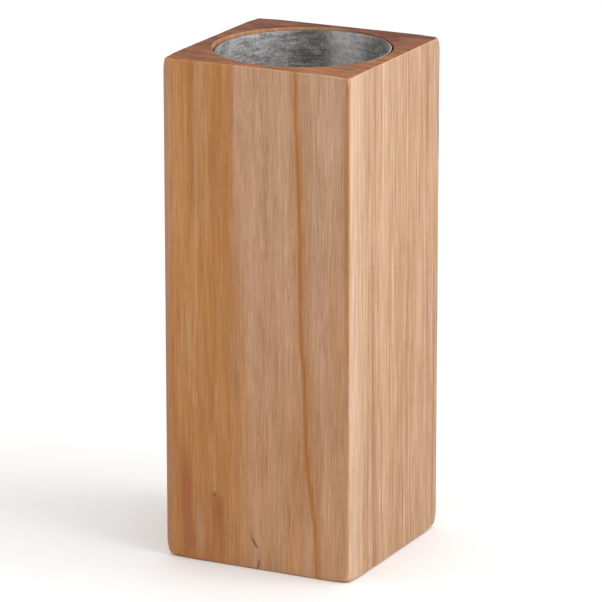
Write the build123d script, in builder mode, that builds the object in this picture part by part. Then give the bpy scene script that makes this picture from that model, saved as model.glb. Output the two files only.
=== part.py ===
from build123d import *
import math
import os

# ---------------------------------------------------------------------------
# Pillar candle holder: a square column of solid timber, bored from the top,
# with a loose galvanised sheet cup standing in the bore.
#
# Frame: origin at the centre of the underside, +Z up along the column,
# -Y the broad flat-sawn face, +X the quarter-sawn face.  Millimetres.
# ---------------------------------------------------------------------------

# timber column
block_side = 80.0            # square section
block_height = 200.0
upright_edge_radius = 1.5    # sanded rounding of the four upright edges
top_edge_radius = 0.9        # lighter rounding round the top face
foot_edge_radius = 1.4       # rounding round the underside

# bore for the cup, cut with a flat-bottomed bit
bore_diameter = 70.0
bore_depth = 54.0
bore_mouth_break = 0.4       # chamfer that takes the sharp edge off the mouth
spur_mark_diameter = 6.0     # cone left by the bit's centre point
spur_mark_depth = 2.2
rim_score_width = 1.2        # ring scored by the bit's outer teeth
rim_score_depth = 0.5

# galvanised cup: rolled wall, lapped and soldered, standing in a pressed base
sheet = 0.5                  # sheet thickness
cup_outer_diameter = 68.2    # outside of the rolled wall
cup_height = 52.7            # underside of the base to the cut rim
base_flange_height = 4.0     # upturned flange of the base, outside the wall
lap_width = 7.0              # width of the lap outside the wall
lap_angle = 235.0            # where the lap stands, degrees from +X
lap_gap = 0.3                # the lap stops this far above the flange
rim_deburr = 0.12            # broken edge of the cut rim

# derived
bore_radius = bore_diameter / 2
bore_floor = block_height - bore_depth
cup_outer = cup_outer_diameter / 2
cup_inner = cup_outer - sheet
cup_foot = bore_floor
cup_rim = cup_foot + cup_height
rim_recess = block_height - cup_rim
base_top = cup_foot + sheet

os.makedirs("parts", exist_ok=True)

# --------------------------------------------------------------- timber block
with BuildPart() as wood_block:
    with BuildSketch(Plane.XY) as section:
        Rectangle(block_side, block_side)
    extrude(amount=block_height)

    # the four uprights first, then the rims of the two ends
    fillet(wood_block.edges().filter_by(Axis.Z), radius=upright_edge_radius)
    fillet(wood_block.faces().sort_by(Axis.Z)[-1].outer_wire().edges(), radius=top_edge_radius)
    fillet(wood_block.faces().sort_by(Axis.Z)[0].outer_wire().edges(), radius=foot_edge_radius)

    # flat-bottomed bore from the top face
    with Locations((0, 0, block_height)):
        Hole(radius=bore_radius, depth=bore_depth)
    chamfer(
        wood_block.faces().sort_by(Axis.Z)[-1].inner_wires()[0].edges(),
        length=bore_mouth_break,
    )

    # cone of the bit's centre point in the floor of the bore
    with BuildSketch(Plane.XZ) as spur_profile:
        with BuildLine():
            Polyline(
                (0, bore_floor + 0.5),
                (spur_mark_diameter / 2, bore_floor + 0.5),
                (spur_mark_diameter / 2, bore_floor),
                (0, bore_floor - spur_mark_depth),
                close=True,
            )
        make_face()
    revolve(axis=Axis.Z, mode=Mode.SUBTRACT)

    # shallow ring that the outer teeth score at the foot of the wall
    with BuildSketch(Plane.XY.offset(bore_floor - rim_score_depth)) as score_ring:
        Circle(bore_radius)
        Circle(bore_radius - rim_score_width, mode=Mode.SUBTRACT)
    extrude(amount=rim_score_depth, mode=Mode.SUBTRACT)

wood_block.part.label = "wood_block"

# ------------------------------------------------------------------- cup wall
with BuildPart() as cup_wall:
    # rolled sheet, standing on the base plate
    with BuildSketch(Plane.XY.offset(base_top)) as wall_ring:
        Circle(cup_outer)
        Circle(cup_inner, mode=Mode.SUBTRACT)
    extrude(amount=cup_rim - base_top)

    # outer layer of the lap: the sheet's end laid over the wall, from just
    # above the base's flange up to the rim, with its two sides feathered
    lap_foot = cup_foot + base_flange_height + lap_gap
    half_lap = math.degrees(lap_width / 2 / (cup_outer + sheet / 2))
    start = lap_angle - half_lap
    feather = 0.6
    with BuildSketch(Plane.XY.offset(lap_foot)) as lap_strip:
        with BuildLine():
            inner_arc = CenterArc((0, 0), cup_outer - sheet / 2, start, 2 * half_lap)
            outer_arc = CenterArc(
                (0, 0), cup_outer + sheet, start + feather, 2 * (half_lap - feather)
            )
            Line(inner_arc @ 0, outer_arc @ 0)
            Line(inner_arc @ 1, outer_arc @ 1)
        make_face()
    extrude(amount=cup_rim - lap_foot)

    # the cut rim is deburred inside
    rim_face = cup_wall.faces().sort_by(Axis.Z)[-1]
    chamfer(rim_face.inner_wires()[0].edges(), length=rim_deburr)

cup_wall.part.label = "cup_wall"

# ------------------------------------------------------------------- cup base
# pressed pan: a flat plate with its flange turned up outside the wall's foot
with BuildPart() as cup_base:
    with BuildSketch(Plane.XY.offset(cup_foot)) as base_plate:
        Circle(cup_outer + sheet)
    extrude(amount=base_flange_height)
    with BuildSketch(Plane.XY.offset(base_top)) as pan_hollow:
        Circle(cup_outer)
    extrude(amount=base_flange_height - sheet, mode=Mode.SUBTRACT)

    # the sheet turns the corner with an outside radius of one thickness
    fillet(
        cup_base.faces().sort_by(Axis.Z)[0].outer_wire().edges(),
        radius=sheet * 0.9,
    )

cup_base.part.label = "cup_base"

# -------------------------------------------------------------------- exports
pieces = {"wood_block": wood_block, "cup_wall": cup_wall, "cup_base": cup_base}
for name, piece in pieces.items():
    export_step(piece.part, f"parts/{name}.step")
    box = piece.part.bounding_box()
    print(
        name,
        "solids", len(piece.part.solids()),
        "volume_mm3", round(piece.part.volume, 1),
        "z", round(box.min.Z, 3), round(box.max.Z, 3),
        "x", round(box.min.X, 3), round(box.max.X, 3),
    )
print("cup inner radius", cup_inner, "rim recess", rim_recess, "base top", base_top)
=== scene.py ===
import math

import bpy
import numpy as np
from mathutils import Matrix, Vector, noise as field


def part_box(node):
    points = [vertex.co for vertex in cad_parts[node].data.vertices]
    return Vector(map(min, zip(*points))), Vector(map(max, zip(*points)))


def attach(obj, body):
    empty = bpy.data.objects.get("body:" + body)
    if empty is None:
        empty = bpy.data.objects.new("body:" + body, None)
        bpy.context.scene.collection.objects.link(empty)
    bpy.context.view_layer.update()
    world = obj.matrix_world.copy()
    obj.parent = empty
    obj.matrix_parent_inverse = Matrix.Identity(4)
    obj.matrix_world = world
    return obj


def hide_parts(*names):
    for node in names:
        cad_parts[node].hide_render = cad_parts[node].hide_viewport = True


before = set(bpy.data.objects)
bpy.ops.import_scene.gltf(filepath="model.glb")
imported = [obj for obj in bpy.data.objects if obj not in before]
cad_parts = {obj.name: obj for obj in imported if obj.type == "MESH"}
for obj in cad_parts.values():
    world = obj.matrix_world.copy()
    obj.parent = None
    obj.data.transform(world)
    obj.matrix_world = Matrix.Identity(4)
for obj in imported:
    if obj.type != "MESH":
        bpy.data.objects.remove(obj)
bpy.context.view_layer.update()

# ---------------------------------------------------------------------------
# Places and sizes in metres: the part boxes read from the imported frame, the rest given here
# ---------------------------------------------------------------------------
blk_lo, blk_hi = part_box("wood_block")
wall_lo, wall_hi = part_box("cup_wall")
pan_lo, pan_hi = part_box("cup_base")
SIDE = blk_hi.x - blk_lo.x
HALF = SIDE / 2
TOP = blk_hi.z
MM = 0.001
BORE_R = 35.0 * MM
MOUTH_BREAK = 0.4 * MM
FLOOR_Z = pan_lo.z
UP_R, TOP_R, FOOT_R = 1.5 * MM, 0.9 * MM, 1.4 * MM
SHEET = 0.5 * MM
CUP_OUT = 34.1 * MM
CUP_IN = CUP_OUT - SHEET
RIM_Z = wall_hi.z
LAP_AT, LAP_W = 235.0, 7.0 * MM
LAP_Z = pan_hi.z + 0.3 * MM


def wob(x, y, z, seed=0.0):
    """Smooth signed noise, about -1 to 1, the same on every run."""
    return field.noise(Vector((x + 17.3 * seed, y - 9.1 * seed, z + 4.7 * seed)))


def smooth(x, lo, hi):
    t = min(1.0, max(0.0, (x - lo) / (hi - lo)))
    return t * t * (3 - 2 * t)


def finish_mesh(name, verts, faces, sharp_deg=38.0):
    mesh = bpy.data.meshes.new(name)
    mesh.from_pydata([tuple(v) for v in verts], [], faces)
    mesh.validate()
    mesh.shade_smooth()
    obj = bpy.data.objects.new(name, mesh)
    bpy.context.scene.collection.objects.link(obj)
    mesh.update()
    # edges sharper than the limit stay crisp, the rest shades smoothly
    import bmesh

    bm = bmesh.new()
    bm.from_mesh(mesh)
    bmesh.ops.recalc_face_normals(bm, faces=bm.faces)
    for e in bm.edges:
        if len(e.link_faces) == 2 and math.degrees(e.calc_face_angle(0)) > sharp_deg:
            e.smooth = False
    bm.to_mesh(mesh)
    bm.free()
    wn = obj.modifiers.new("weighted", "WEIGHTED_NORMAL")
    wn.mode = "FACE_AREA"
    wn.keep_sharp = True
    return obj


# ---------------------------------------------------------------------------
# The timber column: one closed skin with hand-sanded edges and eased corners
# ---------------------------------------------------------------------------
N_SIDE, N_ARC = 40, 12
RING = 4 * (N_SIDE + N_ARC)


NEAR_END = [0.0, 0.35, 0.8, 1.3, 1.9, 2.6, 3.5, 4.8, 6.4]


def along(i, length):
    """Place of point i on a straight side: close together near the ends, where the corners are eased."""
    k = len(NEAR_END) - 1
    if i <= k:
        return NEAR_END[i] * MM
    if i >= N_SIDE - k:
        return length - NEAR_END[N_SIDE - i] * MM
    e = NEAR_END[-1] * MM
    return e + (length - 2 * e) * (i - k) / (N_SIDE - 2 * k)


def square_ring(half, rc):
    pts = []
    for k in range(4):
        ca, sa = [(1, 0), (0, 1), (-1, 0), (0, -1)][k]
        flat = half - rc
        local = [(half, -flat + along(i, 2 * flat)) for i in range(N_SIDE)]
        for i in range(N_ARC):
            a = math.pi / 2 * i / N_ARC
            local.append((flat + rc * math.cos(a), flat + rc * math.sin(a)))
        pts += [(x * ca - y * sa, x * sa + y * ca) for x, y in local]
    return pts


def upright_radius(z, k):
    """Corner radius of an upright edge at height z: sanded by hand, so it varies a little and grows at the ends."""
    grow = 2.0 * MM * (1 - smooth(z, 0.0, 7.5 * MM)) + 1.0 * MM * (1 - smooth(TOP - z, 0.0, 5.0 * MM))
    return UP_R + grow + 0.14 * MM * wob(k * 3.1, 0.0, z / 0.028, 1.0)


def corner_share(i):
    """1 on an upright edge, falling to 0 a few millimetres along the straight side."""
    j = i % (N_SIDE + N_ARC)
    if j >= N_SIDE:
        return 1.0
    length = 2 * (HALF - UP_R)
    d = along(j, length)
    return 1 - smooth(min(d, length - d), 0.0, 7.5 * MM)


def build_column():
    verts, faces = [], []
    rings = []

    def add_ring(points):
        start = len(verts)
        verts.extend(points)
        rings.append(start)

    base = square_ring(HALF, UP_R)
    theta = [math.atan2(y, x) for x, y in base]
    share = [corner_share(i) for i in range(RING)]

    def local_edge(r0, more, seed):
        """Radius of the rounding along the foot or the top, point by point, larger towards the corners."""
        return [
            r0 * (1 + 0.14 * wob(3.5 * math.cos(a), 3.5 * math.sin(a), 0.3, seed)) + more * c
            for a, c in zip(theta, share)
        ]

    foot_r = local_edge(FOOT_R, 1.35 * MM, 2.0)
    top_r = local_edge(TOP_R, 1.00 * MM, 3.0)

    def side_ring(inset, height):
        """One ring: inset and height are given point by point."""
        mid_of = [N_SIDE + N_ARC // 2 + k * (N_SIDE + N_ARC) for k in range(4)]
        r_here = [upright_radius(height[mid_of[k]], k) for k in range(4)]
        pts = []
        for k in range(4):
            ca, sa = [(1, 0), (0, 1), (-1, 0), (0, -1)][k]
            r0, r1 = r_here[(k - 1) % 4], r_here[k]
            y0, y1 = -(HALF - r0), HALF - r1
            for j in range(N_SIDE + N_ARC):
                i = k * (N_SIDE + N_ARC) + j
                if j < N_SIDE:
                    x, y = HALF - inset[i], y0 + along(j, y1 - y0)
                else:
                    a = math.pi / 2 * (j - N_SIDE) / N_ARC
                    r = max(r1 - inset[i], 0.15 * MM)
                    x, y = HALF - r1 + r * math.cos(a), HALF - r1 + r * math.sin(a)
                pts.append((x * ca - y * sa, x * sa + y * ca, height[i]))
        return pts

    # the rounding of the foot, then up the sides, then the rounding of the top
    none = [0.0] * RING
    for j in range(0, 11):
        phi = math.pi / 2 * j / 10
        add_ring(side_ring([r * (1 - math.sin(phi)) for r in foot_r], [r * (1 - math.cos(phi)) for r in foot_r]))
    low, high = 9.0 * MM, TOP - 9.0 * MM
    for t in (0.06, 0.13, 0.21, 0.30, 0.40, 0.52, 0.66, 0.82, 1.0):
        add_ring(side_ring(none, [r + (low - r) * t for r in foot_r]))
    for z in range(15, 188, 6):
        add_ring(side_ring(none, [z * MM] * RING))
    for t in (1.0, 0.82, 0.66, 0.52, 0.40, 0.30, 0.21, 0.13, 0.06):
        add_ring(side_ring(none, [TOP - r + (high - TOP + r) * t for r in top_r]))
    for j in range(0, 11):
        phi = math.pi / 2 * j / 10
        add_ring(
            side_ring([r * (1 - math.cos(phi)) for r in top_r], [TOP - r * (1 - math.sin(phi)) for r in top_r])
        )
    # top face: from the rounded rim to the bore's mouth
    outer_top = verts[rings[-1]: rings[-1] + RING]
    mouth = [((BORE_R + MOUTH_BREAK) * math.cos(a), (BORE_R + MOUTH_BREAK) * math.sin(a)) for a in theta]
    for t in (0.2, 0.45, 0.72, 0.92, 1.0):
        add_ring(
            [
                (o[0] + (m[0] - o[0]) * t, o[1] + (m[1] - o[1]) * t, o[2] + (TOP - o[2]) * min(1.0, t * 2.2))
                for o, m in zip(outer_top, mouth)
            ]
        )

    def circle(r, z):
        return [(r * math.cos(a), r * math.sin(a), z) for a in theta]

    add_ring(circle(BORE_R + 0.12 * MM, TOP - 0.12 * MM))
    add_ring(circle(BORE_R, TOP - MOUTH_BREAK))
    depth = TOP - FLOOR_Z
    for t in (0.015, 0.04, 0.08, 0.16, 0.3, 0.5, 0.7, 0.85, 0.95, 0.985):
        add_ring(circle(BORE_R, TOP - MOUTH_BREAK - t * (depth - MOUTH_BREAK)))
    add_ring(circle(BORE_R, FLOOR_Z - 0.5 * MM))
    add_ring(circle(BORE_R - 1.2 * MM, FLOOR_Z - 0.5 * MM))
    add_ring(circle(BORE_R - 1.2 * MM, FLOOR_Z))
    for r in (28, 20, 12, 6, 3):
        add_ring(circle(r * MM, FLOOR_Z))
    add_ring(circle(1.0 * MM, FLOOR_Z - 2.2 * MM * 2 / 3))
    for a, b in zip(rings, rings[1:]):
        for i in range(RING):
            j = (i + 1) % RING
            faces.append((a + i, a + j, b + j, b + i))
    tip = len(verts)
    verts.append((0, 0, FLOOR_Z - 2.2 * MM))
    for i in range(RING):
        faces.append((rings[-1] + i, rings[-1] + (i + 1) % RING, tip))
    # underside
    foot = verts[rings[0]: rings[0] + RING]
    prev = rings[0]
    for t in (0.992, 0.982, 0.97, 0.955, 0.93, 0.8, 0.6, 0.4, 0.2):
        start = len(verts)
        verts.extend([(x * t, y * t, z * smooth(t, 0.95, 1.0)) for x, y, z in foot])
        for i in range(RING):
            j = (i + 1) % RING
            faces.append((start + i, start + j, prev + j, prev + i))
        prev = start
    mid = len(verts)
    verts.append((0, 0, 0))
    for i in range(RING):
        faces.append((prev + (i + 1) % RING, prev + i, mid))
    return finish_mesh("timber_column", verts, faces)


# ---------------------------------------------------------------------------
# The cup: a rolled sheet wall, a little out of round, with its lapped seam
# ---------------------------------------------------------------------------
def build_cup_wall():
    n = 360
    z0 = wall_lo.z
    lift = RIM_Z - z0

    def drift(a, z):
        """How far the sheet strays from a true circle."""
        free = smooth(z, z0 + 3 * MM, z0 + 20 * MM)
        c, s = math.cos(a), math.sin(a)
        lean = 0.08 * MM * smooth(z, z0 + 4 * MM, RIM_Z) * math.cos(a - math.radians(27.0))
        return lean + free * MM * (
            0.10 * wob(1.1 * c, 1.1 * s, (z - z0) / 0.05, 5.0)
            + 0.035 * wob(4.0 * c, 4.0 * s, (z - z0) / 0.016, 6.0)
        )

    def lap(a, z):
        d = math.degrees(a) % 360 - LAP_AT
        d = (d + 180) % 360 - 180
        half = math.degrees(LAP_W / 2 / CUP_OUT)
        up = smooth(z, LAP_Z - 0.1 * MM, LAP_Z + 0.1 * MM)
        return SHEET * up * smooth(d, -half, -half + 0.9) * (1 - smooth(d, half - 2.2, half))

    def rim(a):
        c, s = math.cos(a), math.sin(a)
        slope = 0.35 * MM + 0.62 * MM * math.cos(a - math.radians(27.0))
        return slope + 0.07 * MM * wob(2.3 * c, 2.3 * s, 0.0, 7.0) + 0.02 * MM * wob(11 * c, 11 * s, 0.0, 8.0)

    outer = [0.0, 1.0, 2.5, 3.55, 3.75, 3.95, 5, 8, 12, 16, 20, 24, 28, 32, 36, 40, 44, 47, 49, 50.0, 50.8]
    angles = [2 * math.pi * i / n for i in range(n)]
    # extra resolution where the lap starts and stops
    for edge in (-1, 1):
        mid = LAP_AT + edge * math.degrees(LAP_W / 2 / CUP_OUT)
        angles += [math.radians(mid + d) for d in (-2.3, -1.9, -1.5, -1.15, -0.75, -0.45, -0.25, 0.12, 0.3)]
    angles = sorted(set(round(a % (2 * math.pi), 6) for a in angles))
    kept = [angles[0]]
    for a in angles[1:]:
        if a - kept[-1] > 0.0018:
            kept.append(a)
    angles = kept
    n = len(angles)
    verts, faces, rings = [], [], []

    def add(fn):
        rings.append(len(verts))
        for a in angles:
            r, z = fn(a)
            verts.append((r * math.cos(a), r * math.sin(a), z))

    for h in outer:
        z = z0 + h * MM
        add(lambda a: (CUP_OUT + drift(a, z) + lap(a, z), z))
    add(lambda a: (CUP_OUT + drift(a, RIM_Z) + lap(a, RIM_Z), RIM_Z - 0.10 * MM + rim(a)))
    add(lambda a: (CUP_OUT - 0.04 * MM + drift(a, RIM_Z) + lap(a, RIM_Z), RIM_Z - 0.03 * MM + rim(a)))
    add(lambda a: (CUP_OUT - 0.12 * MM + drift(a, RIM_Z) + lap(a, RIM_Z), RIM_Z + rim(a)))
    add(lambda a: (CUP_IN + 0.14 * MM + drift(a, RIM_Z), RIM_Z + rim(a)))
    add(lambda a: (CUP_IN + 0.05 * MM + drift(a, RIM_Z), RIM_Z - 0.04 * MM + rim(a)))
    add(lambda a: (CUP_IN + drift(a, RIM_Z), RIM_Z - 0.13 * MM + rim(a)))
    for h in reversed(outer):
        z = z0 + h * MM
        add(lambda a: (CUP_IN + drift(a, z), z))
    m = len(rings)
    for k in range(m):
        a, b = rings[k], rings[(k + 1) % m]
        for i in range(n):
            j = (i + 1) % n
            faces.append((a + i, a + j, b + j, b + i))
    return finish_mesh("zinc_wall", verts, faces, 55.0)


def build_cup_pan():
    n = 256
    z = pan_lo.z
    t = wall_lo.z - z
    r = pan_hi.x
    zt = pan_hi.z
    ri = CUP_OUT + 0.03 * MM
    bend = 0.45 * MM
    prof = [(2 * MM, z), (10 * MM, z), (20 * MM, z), (30 * MM, z), (r - bend, z)]
    prof += [(r - bend + bend * math.sin(a), z + bend - bend * math.cos(a)) for a in [math.radians(q) for q in (18, 36, 54, 72, 90)]]
    prof += [(r, z + 1.5 * MM), (r, zt - 0.08 * MM), (r - 0.08 * MM, zt), (ri + 0.08 * MM, zt), (ri, zt - 0.08 * MM), (ri, z + 1.5 * MM), (ri, z + t + 0.02 * MM)]
    prof += [(ri - 0.1 * MM, z + t - 0.005 * MM), (33.0 * MM, z + t), (31 * MM, z + t), (27 * MM, z + t), (22 * MM, z + t), (17 * MM, z + t), (12 * MM, z + t), (7 * MM, z + t), (2 * MM, z + t)]
    verts, faces = [], []
    for pr, pz in prof:
        for i in range(n):
            a = 2 * math.pi * i / n
            c, s = math.cos(a), math.sin(a)
            sag = 0.0
            if pz > z + 0.4 * MM and pr < 33.2 * MM:
                inside = 1 - smooth(pr, 24 * MM, 33 * MM)
                sag = -0.16 * MM * inside * (0.5 + 0.5 * wob(pr * c / 0.02, pr * s / 0.02, 0.0, 9.0))
            verts.append((pr * c, pr * s, pz + sag))
    rows = len(prof)
    for k in range(rows - 1):
        for i in range(n):
            j = (i + 1) % n
            faces.append((k * n + i, k * n + j, (k + 1) * n + j, (k + 1) * n + i))
    low = len(verts)
    verts.append((0, 0, z))
    high = len(verts)
    verts.append((0, 0, z + t - 0.1 * MM))
    for i in range(n):
        j = (i + 1) % n
        faces.append((j, i, low))
        faces.append(((rows - 1) * n + i, (rows - 1) * n + j, high))
    return finish_mesh("zinc_pan", verts, faces, 50.0)


# ---------------------------------------------------------------------------
# A small language for node graphs
# ---------------------------------------------------------------------------
class Sock:
    def __init__(self, g, s):
        self.g, self.s = g, s

    def __add__(self, o):
        return self.g.math("ADD", self, o)

    __radd__ = __add__

    def __sub__(self, o):
        return self.g.math("SUBTRACT", self, o)

    def __rsub__(self, o):
        return self.g.math("SUBTRACT", o, self)

    def __mul__(self, o):
        return self.g.math("MULTIPLY", self, o)

    __rmul__ = __mul__

    def __truediv__(self, o):
        return self.g.math("DIVIDE", self, o)

    def __neg__(self):
        return self.g.math("MULTIPLY", self, -1.0)


class Graph:
    def __init__(self, name):
        self.mat = bpy.data.materials.new(name)
        self.mat.use_nodes = True
        self.nt = self.mat.node_tree
        self.nt.nodes.clear()
        self.out = self.nt.nodes.new("ShaderNodeOutputMaterial")

    def node(self, kind, **props):
        n = self.nt.nodes.new(kind)
        for k, v in props.items():
            setattr(n, k, v)
        return n

    def put(self, socket, value):
        if isinstance(value, Sock):
            self.nt.links.new(value.s, socket)
        else:
            socket.default_value = value

    def math(self, op, a, b=None, c=None, clamp=False):
        n = self.node("ShaderNodeMath", operation=op, use_clamp=clamp)
        for i, v in enumerate((a, b, c)):
            if v is not None:
                self.put(n.inputs[i], v)
        return Sock(self, n.outputs[0])

    def xyz(self, x, y, z):
        n = self.node("ShaderNodeCombineXYZ")
        for i, v in enumerate((x, y, z)):
            self.put(n.inputs[i], v)
        return Sock(self, n.outputs[0])

    def split(self, vec):
        n = self.node("ShaderNodeSeparateXYZ")
        self.put(n.inputs[0], vec)
        return [Sock(self, o) for o in n.outputs]

    def step(self, x, lo, hi, a=0.0, b=1.0):
        """Smooth step from a at lo to b at hi."""
        n = self.node("ShaderNodeMapRange", interpolation_type="SMOOTHSTEP")
        for i, v in enumerate((x, lo, hi, a, b)):
            self.put(n.inputs[i], v)
        return Sock(self, n.outputs[0])

    def line(self, x, lo, hi, a=0.0, b=1.0):
        n = self.node("ShaderNodeMapRange", interpolation_type="LINEAR", clamp=True)
        for i, v in enumerate((x, lo, hi, a, b)):
            self.put(n.inputs[i], v)
        return Sock(self, n.outputs[0])

    def bump_at(self, x, centre, width):
        """1 at the centre, 0 a width away on either side."""
        d = self.math("ABSOLUTE", x - centre)
        return self.step(d, width, 0.0)

    def noise(self, x, y, z, detail=2.0, rough=0.5, dist=0.0):
        n = self.node("ShaderNodeTexNoise", noise_dimensions="3D")
        self.put(n.inputs["Vector"], self.xyz(x, y, z))
        n.inputs["Scale"].default_value = 1.0
        n.inputs["Detail"].default_value = detail
        n.inputs["Roughness"].default_value = rough
        n.inputs["Distortion"].default_value = dist
        return Sock(self, n.outputs[0])

    def mix(self, fac, a, b, blend="MIX"):
        n = self.node("ShaderNodeMix", data_type="RGBA", blend_type=blend, clamp_factor=True)
        self.put(n.inputs[0], fac)
        for i, v in ((6, a), (7, b)):
            if isinstance(v, Sock):
                self.put(n.inputs[i], v)
            else:
                n.inputs[i].default_value = (*v, 1.0)
        return Sock(self, n.outputs[2])

    def clamp01(self, x):
        return self.math("ADD", x, 0.0, clamp=True)


# ---------------------------------------------------------------------------
# Timber: one solid block, growth rings lying parallel to the -Y face
# ---------------------------------------------------------------------------
def timber_material():
    g = Graph("oiled_timber")
    tc = g.node("ShaderNodeTexCoord")
    X, Y, Z = [c * 1000.0 for c in g.split(Sock(g, tc.outputs["Object"]))]
    NX, NY, NZ = g.split(Sock(g, tc.outputs["Normal"]))
    ax, ay, az = [g.math("ABSOLUTE", c) for c in (NX, NY, NZ)]
    u = X - blk_lo.x * 1000.0        # from the left edge of the -Y face
    v = Y - blk_lo.y * 1000.0        # depth behind the -Y face
    w = TOP * 1000.0 - Z             # down from the top
    radius = g.math("SQRT", X * X + Y * Y)
    end = g.step(az, 0.60, 0.92)                         # end grain
    quarter = g.step(ax, 0.45, 0.9)                      # cut across the rings
    front = g.step(v, 7.0, 1.5) * (1.0 - quarter)        # the -Y face
    bore = g.step(radius, 36.2, 35.6) * (1.0 - end)      # wall of the bore
    # rounded edges: lightened below as sanding wear and as a painted highlight
    worn_edge_and_highlight = g.step(g.math("MAXIMUM", g.math("MAXIMUM", ax, ay), az), 0.99, 0.85) * (1.0 - bore)

    # coordinates turned and waved a little, so no pattern lines up with the faces
    sway = g.noise(X * 0.05, Y * 0.05, Z * 0.011, 2.0) - 0.5
    Xa = X * 0.87 - Y * 0.50 + sway * 5.0
    Ya = X * 0.50 + Y * 0.87 - sway * 4.0

    # ring coordinate: distance from the pith far behind, with slow waves
    wave = g.noise(X / 46.0, Y / 46.0, Z / 135.0, 1.0) - 0.5
    bow = g.math("POWER", g.math("ABSOLUTE", u - 47.0), 2.0)
    s = v - (bow - 1089.0) * 0.0015 - w * 0.010 + wave * 2.2

    # the rings: broad bands, lines 1 to 3 mm apart, hair lines
    broad = g.noise(s * 0.060 + 3.0, s * 0.045, Z * 0.0030 + u * 0.010, 1.0)
    lines = g.noise(s * 0.52, s * 0.44 + 5.0, Z * 0.0120 + u * 0.016, 3.0, 0.68)
    hair = g.noise(s * 1.30, s * 1.05 + 9.0, Z * 0.026 + u * 0.05, 3.0, 0.66)
    # fibres: thin streaks along the trunk
    ribbon = g.noise(Xa * 0.17, Ya * 0.17, Z * 0.0085, 2.0, 0.55)
    fibre = g.noise(Xa * 0.55, Ya * 0.55, Z * 0.015, 3.0, 0.62)
    fibre2 = g.noise(Xa * 1.45 + 6.0, Ya * 1.45, Z * 0.030, 2.0, 0.6)
    fine = g.noise(Xa * 2.5, Ya * 2.5, Z * 0.065, 2.0, 0.65)
    mottle = g.noise(X * 0.075, Y * 0.075, Z * 0.026, 2.0)
    # faint marks left by the saw and the sanding belt, lying across the grain
    saw = g.noise(u * 0.13, v * 0.13 + 3.0, (Z + u * 0.10 + v * 0.18) * 1.15, 2.0, 0.62) - 0.5
    saw = saw * g.line(g.noise(X * 0.045 + 5.0, Y * 0.045, Z * 0.030, 2.0), 0.42, 0.66, 0.15, 1.0)
    dapple = g.noise(Xa * 0.50 + 4.0, Ya * 0.50, Z * 0.24, 2.0, 0.6)
    amber = g.noise(Xa * 0.36 + 8.0, Ya * 0.36 + 2.0, Z * 0.013, 4.0, 0.68)

    tone = (
        (lines - 0.5) * g.line(quarter, 0.0, 1.0, 0.26, 1.02)
        + (broad - 0.5) * g.line(quarter, 0.0, 1.0, 0.40, 0.25)
        + (hair - 0.5) * g.line(quarter, 0.0, 1.0, 0.15, 1.35)
        + (ribbon - 0.5) * g.line(quarter, 0.0, 1.0, 0.44, 0.12)
        + (fibre - 0.5) * g.line(quarter, 0.0, 1.0, 0.38, 0.20)
        + (fibre2 - 0.5) * 0.46
        + (fine - 0.5) * 0.86
        + (mottle - 0.5) * 0.24
        + saw * g.line(quarter, 0.0, 1.0, 0.10, 0.22)
        + (dapple - 0.5) * 0.16
        + 0.5
    )

    # named rings that show on the quarter-sawn side and run through to the top
    sx = s - (g.noise(Z * 0.012, u * 0.01, 3.3, 0.0) - 0.5) * 1.2
    rings = (
        g.bump_at(sx, 14.0, 1.0) * 0.12
        + g.bump_at(sx, 19.0, 1.1) * 0.26
        + g.bump_at(sx, 21.2, 0.8) * 0.14
        + g.bump_at(sx, 21.8, 5.5) * 0.08
        + g.bump_at(sx, 34.0, 1.0) * 0.08
        + g.bump_at(sx, 43.0, 1.3) * 0.11
        + g.bump_at(sx, 55.0, 1.0) * 0.07
        + g.bump_at(sx, 67.5, 1.6) * 0.13
        + g.step(s, 58.0, 84.0) * 0.10
        + g.bump_at(sx, 16.5, 4.5) * g.step(w, 130.0, 60.0) * 0.06
        - g.bump_at(sx, 28.0, 11.0) * 0.09
        + g.bump_at(sx, 46.0, 9.0) * g.step(w, 30.0, 80.0) * 0.11
    )
    bright = (
        g.bump_at(sx, 28.0, 0.9) * g.step(w, 130.0, 30.0) * 0.34
        + g.step(s, 13.0, 2.0) * 0.26
        + g.bump_at(sx, 31.0, 2.2) * 0.06
    )
    tone = tone - rings * g.line(quarter, 0.0, 1.0, 0.15, 1.0) + bright * quarter
    # the lower part of the column is a touch deeper; the rounded edges are lightened, as sanding wear and as a painted
    # highlight
    tone = tone - g.step(w, 50.0, 190.0) * 0.11 + worn_edge_and_highlight * 0.20
    tone = tone + front * (
        g.bump_at(u, 73.0, 6.0) * 0.07
        + g.step(u, 50.0, 56.0) * g.step(w, 150.0, 192.0) * 0.10
        + g.bump_at(u, 32.0, 12.0) * g.step(w, 34.0, 12.0) * 0.08
        # painted shade on the rounding along the left edge of the -Y face
        - g.step(u, 4.5, 1.0) * 0.16
    )

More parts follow.
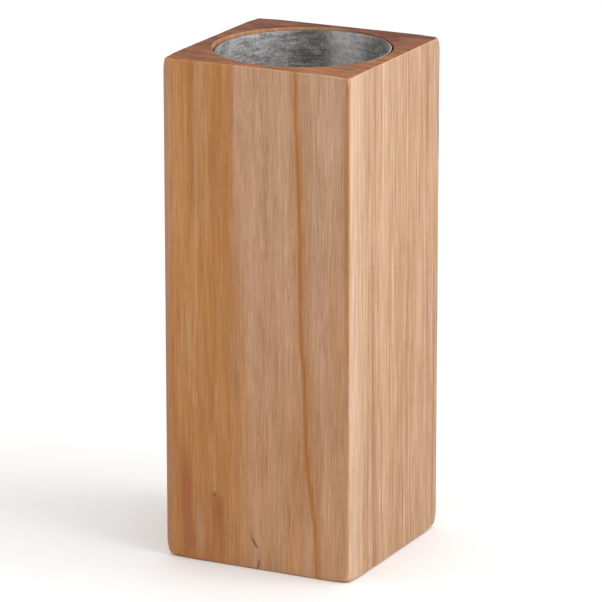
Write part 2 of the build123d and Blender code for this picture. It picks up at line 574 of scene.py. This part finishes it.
    # hue: pale pinkish tan against orange-brown; cream, straw and rose across the rings
    t01 = g.clamp01(tone)
    pale = g.mix(t01, (0.250, 0.120, 0.058), (0.650, 0.415, 0.270))
    warm = g.mix(t01, (0.255, 0.092, 0.022), (0.560, 0.272, 0.100))
    cream = g.mix(t01, (0.275, 0.128, 0.050), (0.618, 0.420, 0.282))
    rose = g.mix(t01, (0.290, 0.124, 0.064), (0.614, 0.390, 0.274))
    straw = g.mix(t01, (0.264, 0.126, 0.034), (0.602, 0.392, 0.200))
    hue_q = (
        g.noise(s * 0.62 + 11.0, s * 0.54, Z * 0.014 + 7.0, 3.0, 0.70)
        + (g.noise(s * 1.05 + 2.0, s * 0.95, Z * 0.045 + 1.0, 2.0, 0.6) - 0.5) * 0.75
        + (dapple - 0.5) * 0.22
    )
    cross = g.mix(g.line(hue_q, 0.48, 0.68, 0.0, 0.90), g.mix(g.line(hue_q, 0.50, 0.36, 0.0, 0.95), cream, rose), straw)
    cross = g.mix(g.step(w, 48.0, 0.0, 0.0, 0.35), cross, g.mix(t01, (0.285, 0.142, 0.074), (0.626, 0.432, 0.312)))
    cross = g.mix(g.bump_at(w, 112.0, 66.0) * g.bump_at(s, 40.0, 28.0) * 0.40, cross, g.mix(t01, (0.262, 0.116, 0.032), (0.605, 0.386, 0.214)))
    cross = g.mix(g.step(s, 11.0, 1.0, 0.0, 0.40), cross, g.mix(t01, (0.330, 0.185, 0.105), (0.640, 0.470, 0.350)))
    pale = g.mix(quarter, pale, cross)

    # the flat-sawn face: a warm zone on the left with a crisp edge near the top
    jig = (g.noise(Z * 0.05, 7.0, 1.0, 2.0) - 0.5) * 1.4 + (fibre - 0.5) * g.step(w, 20.0, 80.0, 0.0, 9.0)
    soft = g.step(w, 18.0, 120.0, 0.7, 12.0)
    edge_u = 30.6 + g.step(w, 30.0, 90.0) * 0.4 - g.step(w, 120.0, 200.0) * 4.0 + jig
    zone = g.clamp01((edge_u - u) / soft + 0.5)
    zone = zone * g.line(ribbon, 0.30, 0.60, 0.70, 1.0) * g.step(u, 0.8, 5.0, 0.25, 1.0)
    rise = g.line(w, 30.0, 200.0, 0.0, 0.24)
    lanes = g.line(g.noise(Xa * 0.11 + 4.0, Ya * 0.11, Z * 0.009, 2.0), 0.40, 0.66) * g.line(w, 0.0, 120.0, 0.14, 0.46)
    general = g.line(g.noise(s * 0.10, s * 0.09, Z * 0.006 + u * 0.02, 1.0), 0.42, 0.68, 0.0, 0.45)

    # the long dark streak that drifts right as it goes down, in uneven steps
    path = (
        56.0
        + g.line(w, 0.0, 60.0, 0.0, 2.2)
        + g.line(w, 60.0, 104.0, 0.0, 0.6)
        + g.step(w, 104.0, 122.0) * 1.5
        + g.line(w, 122.0, 146.0, 0.0, 0.5)
        + g.step(w, 142.0, 190.0) * 4.4
        + g.line(w, 185.0, 200.0, 0.0, 0.5)
    )
    su = u - path + (g.noise(Z * 0.07, 2.0, 8.0, 2.0) - 0.5) * 0.9 + (fibre2 - 0.5) * 0.9
    core = g.step(su, -0.75, 0.05) * g.step(su, 1.55, 0.25)
    halo = g.step(su, -1.2, 0.2) * g.step(su, 6.2, 0.9)
    haze = g.step(su, -5.0, -0.6) * g.step(su, 0.3, -0.4)
    gain = g.line(w, 0.0, 95.0, 0.60, 1.0) * g.line(w, 175.0, 200.0, 1.0, 0.70) * g.line(g.noise(Z * 0.03, 4.0, 4.0, 2.0), 0.3, 0.6, 0.65, 1.1)
    streak = core * gain
    halo = halo * gain * g.line(fibre, 0.35, 0.6, 0.5, 1.1)
    twin = g.bump_at(u - 54.6 - w * 0.085, 0.0, 0.55) * g.step(w, 24.0, 4.0)

    # strip along the front upright edge, fading downwards
    strip = g.step(u, 76.8, 77.8) * g.step(w, 135.0, 50.0) * g.step(ax, 0.40, 0.12)

    # lower left: a reddish flame, a pale patch beside it, a darker tail and blotch
    fu = u - 1.3 - (w - 176.0) * 0.045 + (fibre - 0.5) * 3.0 + (fibre2 - 0.5) * 1.6
    flame = g.step(fu, 4.6, 7.0) * g.step(fu, 13.4, 9.6)
    flame = flame * g.step(w, 148.0, 168.0) * g.step(w, 206.0, 192.0)
    patch = g.bump_at(u - 15.4, 0.0, 3.6) * g.bump_at(w, 188.0, 15.0)
    tail_u = u - (17.4 + (w - 107.0) * 0.082)
    tail = g.step(tail_u, -0.7, -0.1) * g.step(tail_u, 4.6, 0.2) * g.step(w, 98.0, 128.0) * g.step(w, 206.0, 172.0)
    blot = g.step(g.math("ABSOLUTE", u - 22.9), 3.4, 1.4) * g.step(w, 170.5, 174.5) * g.step(w, 200.0, 178.0, 0.30, 1.0)
    upper = g.bump_at(u - 12.2, 0.0, 3.4) * g.step(w, 74.0, 40.0) + g.bump_at(u - 21.5 + w * 0.02, 0.0, 2.6) * g.bump_at(w, 34.0, 34.0) * 0.8

    # amber streaks where the warm zone has drunk the oil
    stain = g.line(amber, 0.47, 0.62) * g.clamp01(zone * 1.0 + halo * 0.40 + rise * 0.60 + lanes * 0.40)

    warm_amt = g.clamp01(
        (
            zone * 0.95 + strip * 0.75 + streak * 0.9 + halo * 0.55 + haze * gain * 0.18 + rise + lanes + twin * 0.6
            + flame * 0.4 + tail * 0.4 + blot * 0.35
        ) * front
        + general * (1.0 - front) * g.line(quarter, 0.0, 1.0, 1.0, 0.0)
    )
    side = g.mix(warm_amt, pale, warm)
    side = g.mix(g.clamp01(stain * front * 0.66), side, g.mix(fibre2, (0.300, 0.098, 0.020), (0.450, 0.185, 0.048)))
    # and lighter lanes between them
    side = g.mix(g.line(amber, 0.46, 0.34) * zone * front * 0.50, side, (0.500, 0.285, 0.140))
    # darkening by the named marks
    side = g.mix(
        g.clamp01((streak * 0.52 + halo * 0.15 + strip * 0.16 + tail * 0.26 + blot * 0.20 + upper * 0.26 + twin * 0.3) * front),
        side,
        (0.300, 0.105, 0.024),
    )
    side = g.mix(g.clamp01(flame * front * 0.66), side, (0.290, 0.082, 0.030))
    side = g.mix(g.clamp01(blot * front * g.line(fibre, 0.35, 0.6, 0.35, 0.80)), side, (0.275, 0.090, 0.030))
    side = g.mix(g.clamp01(patch * front * 0.55), side, (0.410, 0.250, 0.160))
    # painted shade: darker strip along the left edge of the -Y face, where its rounding turns from the light
    side = g.mix(g.step(u, 4.2, 1.2) * front * 0.55, side, (0.360, 0.196, 0.132))

    # a pin knot with its dark dot, and two small checks near the foot
    ku = u - 21.5
    kw = (w - 172.0) / 1.4
    kd = g.math("SQRT", ku * ku + kw * kw)
    dot = g.clamp01(g.step(kd, 0.80, 0.35) + g.step(g.math("ABSOLUTE", u - 21.2), 0.55, 0.15) * g.bump_at(w, 178.5, 6.5) * 0.55) * front
    halo_k = g.step(kd, 1.7, 0.6) * front
    bend = g.math("POWER", g.line(w, 183.0, 191.5), 1.6) * 4.0
    c1 = g.step(g.math("ABSOLUTE", u - 36.6 - bend), 0.85, 0.25) * g.step(w, 186.2, 188.4) * g.step(w, 191.6, 190.4)
    c2 = g.step(g.math("ABSOLUTE", (u - 40.9) + (w - 197.0) * 0.22), 0.62, 0.18) * g.step(w, 195.4, 197.0) * g.step(w, 200.6, 199.4)
    check = g.clamp01(c1 + c2) * front
    dim = g.clamp01(g.bump_at(u - 37.0 - bend, 0.0, 2.4) * g.bump_at(w, 187.5, 7.0) + g.bump_at(u - 40.6, 0.0, 1.6) * g.bump_at(w, 196.5, 5.0)) * front
    side = g.mix(g.clamp01(halo_k * 0.40 + dim * 0.36), side, (0.250, 0.095, 0.030))
    side = g.mix(g.clamp01(dot * 0.85 + check * 0.80), side, (0.190, 0.066, 0.018))

    # pores and flecks: short dark dashes along the grain
    pore = g.step(g.noise(Xa * 3.1, Ya * 3.1, Z * 0.16, 0.0), 0.68, 0.80)
    fleck = g.step(g.noise(Xa * 0.85, Ya * 0.85, Z * 0.17 + 40.0, 0.0), 0.792, 0.825)
    side = g.mix(g.clamp01(pore * 0.14 + fleck * 0.16), side, (0.220, 0.085, 0.028))
    # wall of the bore: freshly cut, lighter and warmer, with painted shade below the mouth and on the +X side
    bore_wall_and_shade = g.mix(t01, (0.30, 0.122, 0.048), (0.66, 0.350, 0.180))
    # painted shade further down the bore, below the mouth
    bore_wall_and_shade = g.mix(g.step(w, 0.9, 2.6) * 0.45, bore_wall_and_shade, (0.300, 0.120, 0.055))
    # painted shade on the +X side of the bore, which faces away from the key light
    bore_wall_and_shade = g.mix(g.step(X, -4.0, 9.0) * 0.85, bore_wall_and_shade, (0.215, 0.066, 0.032))
    side = g.mix(bore * 0.88, side, bore_wall_and_shade)

    # the broken edge of the bore's mouth catches the light
    mouth = g.step(radius, 36.0, 35.6) * g.step(az, 0.25, 0.50) * g.step(az, 0.96, 0.80)

    # end grain: the cut ends of the fibres drink the oil and turn red-brown
    e_line = g.noise(s * 0.40, s * 0.34, u * 0.034 + 2.0, 3.0, 0.62)
    e_hair = g.noise(s * 1.15 + 3.0, s * 1.0, u * 0.10 + 4.0, 2.0, 0.62)
    e_dot = g.noise(Xa * 2.0, Ya * 2.0, 6.0, 2.0, 0.6)
    e_patch = g.noise(X * 0.070, Y * 0.11, 9.0, 1.0)
    lean = g.line(u * 0.55 + (80.0 - v) * 0.90, 42.0, 112.0)
    e_tone = (
        (e_line - 0.5) * 1.55 + (e_hair - 0.5) * 1.50 + (e_dot - 0.5) * 0.80 + (e_patch - 0.5) * 0.75 + lean * 0.55 + 0.22
        # rounded edges lightened: sanding wear and a painted highlight
        + worn_edge_and_highlight * 0.30
    )
    e_tone = (
        e_tone
        + g.bump_at(sx, 29.5, 1.1) * 0.34 * g.step(u, 66.0, 73.0)
        - g.bump_at(sx, 20.5, 5.0) * g.bump_at(u, 71.0, 7.0) * 0.30
        - g.bump_at(sx, 12.5, 1.4) * g.bump_at(u, 73.0, 6.0) * 0.30
    )
    endc = g.mix(g.clamp01(e_tone), (0.100, 0.021, 0.0115), (0.400, 0.158, 0.052))
    colour = g.mix(end, side, endc)
    colour = g.mix(mouth * g.step(X, 6.0, -8.0, 0.12, 0.85), colour, (0.600, 0.370, 0.220))

    # relief: open grain on the sides, cut pores on the ends
    height = (
        (fibre - 0.5) * 0.5 + (fibre2 - 0.5) * 0.6 + (fine - 0.5) * 0.7 - pore * 0.5 - (dot + check) * 0.35 + saw * 0.22 + (hair - 0.5) * 0.35
    ) * (1.0 - end) + ((e_hair - 0.5) * 0.8 + (e_dot - 0.5) * 0.9) * end
    bump = g.node("ShaderNodeBump")
    bump.inputs["Strength"].default_value = 0.5
    bump.inputs["Distance"].default_value = 0.00006
    g.put(bump.inputs["Height"], height)

    rough = 0.54 + (fibre - 0.5) * 0.18 + end * 0.14 + (mottle - 0.5) * 0.12
    bsdf = g.node("ShaderNodeBsdfPrincipled")
    g.put(bsdf.inputs["Base Color"], colour)
    g.put(bsdf.inputs["Roughness"], rough)
    bsdf.inputs["Specular IOR Level"].default_value = 0.22
    g.nt.links.new(bump.outputs[0], bsdf.inputs["Normal"])
    g.nt.links.new(bsdf.outputs[0], g.out.inputs[0])
    return g.mat


# ---------------------------------------------------------------------------
# Galvanised sheet
# ---------------------------------------------------------------------------
def zinc_material():
    g = Graph("galvanised_sheet")
    tc = g.node("ShaderNodeTexCoord")
    X, Y, Z = [c * 1000.0 for c in g.split(Sock(g, tc.outputs["Object"]))]
    turn = g.math("ARCTAN2", Y, X)                          # angle round the cup, radians
    brush = g.noise(X * 0.080, Y * 0.080, Z * 1.5, 3.0, 0.66)
    brush2 = g.noise(X * 0.20 + 9.0, Y * 0.20, Z * 4.5, 2.0, 0.6)
    blotch = g.noise(X * 0.15, Y * 0.15, Z * 0.15, 3.0, 0.62)
    cells = g.node("ShaderNodeTexVoronoi", feature="F1")
    g.put(cells.inputs["Vector"], g.xyz(X * 0.40 + (blotch - 0.5) * 2.0, Y * 0.40, Z * 0.55))
    cells.inputs["Scale"].default_value = 1.0
    cell = g.split(Sock(g, cells.outputs["Color"]))[0]
    speck = g.noise(X * 1.1, Y * 1.1, Z * 1.3, 2.0, 0.7)
    # painted light and reflection: dark and bright bands up the wall, set by the angle round the cup, broken by the
    # blotches
    sway = turn + (blotch - 0.5) * 0.28 + (brush - 0.5) * 0.28

    def painted_band(at, reach):
        lag = g.math("COSINE", sway - math.radians(at))
        return g.step(lag, math.cos(math.radians(reach)), 1.0)

    painted_light_bands = (
        painted_band(110.0, 20.0) * -0.35
        + painted_band(87.0, 16.0) * 0.20
        + painted_band(50.0, 27.0) * -0.24
        + painted_band(184.0, 42.0) * 0.34
        + painted_band(-60.0, 32.0) * -0.30
        + painted_band(-118.0, 26.0) * 0.14
    )
    on_wall = g.step(g.math("SQRT", X * X + Y * Y), 32.6, 33.3)
    pool = g.noise(X * 0.055 + 3.0, Y * 0.055, 2.0, 2.0) - 0.5
    tone = (
        0.46
        # painted light and reflection bands on the wall
        + painted_light_bands * on_wall
        + pool * (1.0 - on_wall) * 0.55
        + (brush - 0.5) * 0.80
        + (brush2 - 0.5) * 0.60
        + (blotch - 0.5) * 0.42
        + (cell - 0.5) * 0.30
        + (speck - 0.5) * 1.00
        + 0.05
    )
    colour = g.mix(g.clamp01(tone), (0.235, 0.232, 0.228), (0.90, 0.895, 0.885))
    # the cut rim is dull; the bright part on the side facing the key light is a painted highlight
    up = g.split(Sock(g, tc.outputs["Normal"]))[2]
    rim = g.step(up, 0.25, 0.65) * g.step(Z, RIM_Z * 1000.0 - 2.0, RIM_Z * 1000.0 - 1.0)
    # painted highlight on the rim where it faces the key light
    painted_rim_highlight = g.step(g.math("COSINE", turn - 0.10), 0.72, 0.97)
    colour = g.mix(rim, colour, g.mix(painted_rim_highlight, (0.160, 0.156, 0.152), (0.470, 0.445, 0.425)))
    rough = 0.46 + (blotch - 0.5) * 0.25 + (speck - 0.5) * 0.25 + (brush - 0.5) * 0.14
    bump = g.node("ShaderNodeBump")
    bump.inputs["Strength"].default_value = 0.6
    bump.inputs["Distance"].default_value = 0.00005
    g.put(bump.inputs["Height"], (brush - 0.5) + (brush2 - 0.5) * 0.6 + (speck - 0.5) * 0.8 + (cell - 0.5) * 0.4)
    bsdf = g.node("ShaderNodeBsdfPrincipled")
    g.put(bsdf.inputs["Base Color"], colour)
    g.put(bsdf.inputs["Roughness"], rough)
    bsdf.inputs["Metallic"].default_value = 1.0
    g.nt.links.new(bump.outputs[0], bsdf.inputs["Normal"])
    g.nt.links.new(bsdf.outputs[0], g.out.inputs[0])
    return g.mat


# ---------------------------------------------------------------------------
# The object
# ---------------------------------------------------------------------------
timber = timber_material()
zinc = zinc_material()

column = build_column()
column.data.materials.append(timber)
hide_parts("wood_block")
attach(column, "block")

wall = build_cup_wall()
wall.data.materials.append(zinc)
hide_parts("cup_wall")
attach(wall, "cup")

pan = build_cup_pan()
pan.data.materials.append(zinc)
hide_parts("cup_base")
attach(pan, "cup")


# ---------------------------------------------------------------------------
# Floor, light and camera
# ---------------------------------------------------------------------------
def build_floor():
    g = Graph("pale_floor")
    tc = g.node("ShaderNodeTexCoord")
    X, Y, Z = g.split(Sock(g, tc.outputs["Object"]))
    n = g.noise(X * 3.0, Y * 3.0, 0.0, 1.0)
    col = g.mix(n, (0.93, 0.93, 0.93), (0.95, 0.95, 0.95))
    bsdf = g.node("ShaderNodeBsdfPrincipled")
    g.put(bsdf.inputs["Base Color"], col)
    bsdf.inputs["Roughness"].default_value = 0.9
    bsdf.inputs["Specular IOR Level"].default_value = 0.1
    g.nt.links.new(bsdf.outputs[0], g.out.inputs[0])
    r = 12.0
    mesh = bpy.data.meshes.new("floor")
    mesh.from_pydata([(-r, -r, 0), (r, -r, 0), (r, r, 0), (-r, r, 0)], [], [(0, 1, 2, 3)])
    obj = bpy.data.objects.new("floor", mesh)
    bpy.context.scene.collection.objects.link(obj)
    mesh.materials.append(g.mat)
    return obj


build_floor()

scene = bpy.context.scene
world = bpy.data.worlds.new("studio")
scene.world = world
world.use_nodes = True
bg = world.node_tree.nodes.get("Background") or world.node_tree.nodes.new("ShaderNodeBackground")
bg.inputs[0].default_value = (1.0, 1.0, 1.0, 1.0)
bg.inputs[1].default_value = 0.95
if not world.node_tree.nodes.get("World Output"):
    wo = world.node_tree.nodes.new("ShaderNodeOutputWorld")
    world.node_tree.links.new(bg.outputs[0], wo.inputs[0])


def area(name, at, to, size, power, colour=(1, 1, 1)):
    data = bpy.data.lights.new(name, "AREA")
    data.shape = "RECTANGLE"
    data.size, data.size_y = size
    data.energy = power
    data.color = colour
    obj = bpy.data.objects.new(name, data)
    scene.collection.objects.link(obj)
    obj.location = at
    d = Vector(to) - Vector(at)
    obj.rotation_euler = d.to_track_quat("-Z", "Y").to_euler()
    return obj


area("key_right", (1.5, 0.10, 1.05), (0, 0, 0.1), (1.5, 1.4), 18.0)

# camera at the fitted viewing angle: azimuth, elevation, distance in block widths
AZ, EL = math.radians(26.416), math.radians(15.811)
DIST, OX, OY = 22.268 * SIDE, 0.0088 * SIDE, 0.0192 * SIDE
back = Vector((math.sin(AZ) * math.cos(EL), -math.cos(AZ) * math.cos(EL), math.sin(EL)))
right = Vector((math.cos(AZ), math.sin(AZ), 0))
up = back.cross(right)
centre = Vector((0, 0, TOP / 2))
cam_data = bpy.data.cameras.new("camera")
cam_data.sensor_width = 36.0
cam_data.lens = 4567.4 / 602.0 * 36.0
cam_data.clip_start = 0.05
cam_data.clip_end = 60.0
cam = bpy.data.objects.new("camera", cam_data)
scene.collection.objects.link(cam)
m = Matrix.Identity(4)
for i in range(3):
    m[i][0], m[i][1], m[i][2] = right[i], up[i], back[i]
pos = centre + back * DIST - right * OX - up * OY
m[0][3], m[1][3], m[2][3] = pos
cam.matrix_world = m
scene.camera = cam

scene.view_settings.view_transform = "Standard"
scene.view_settings.look = "None"
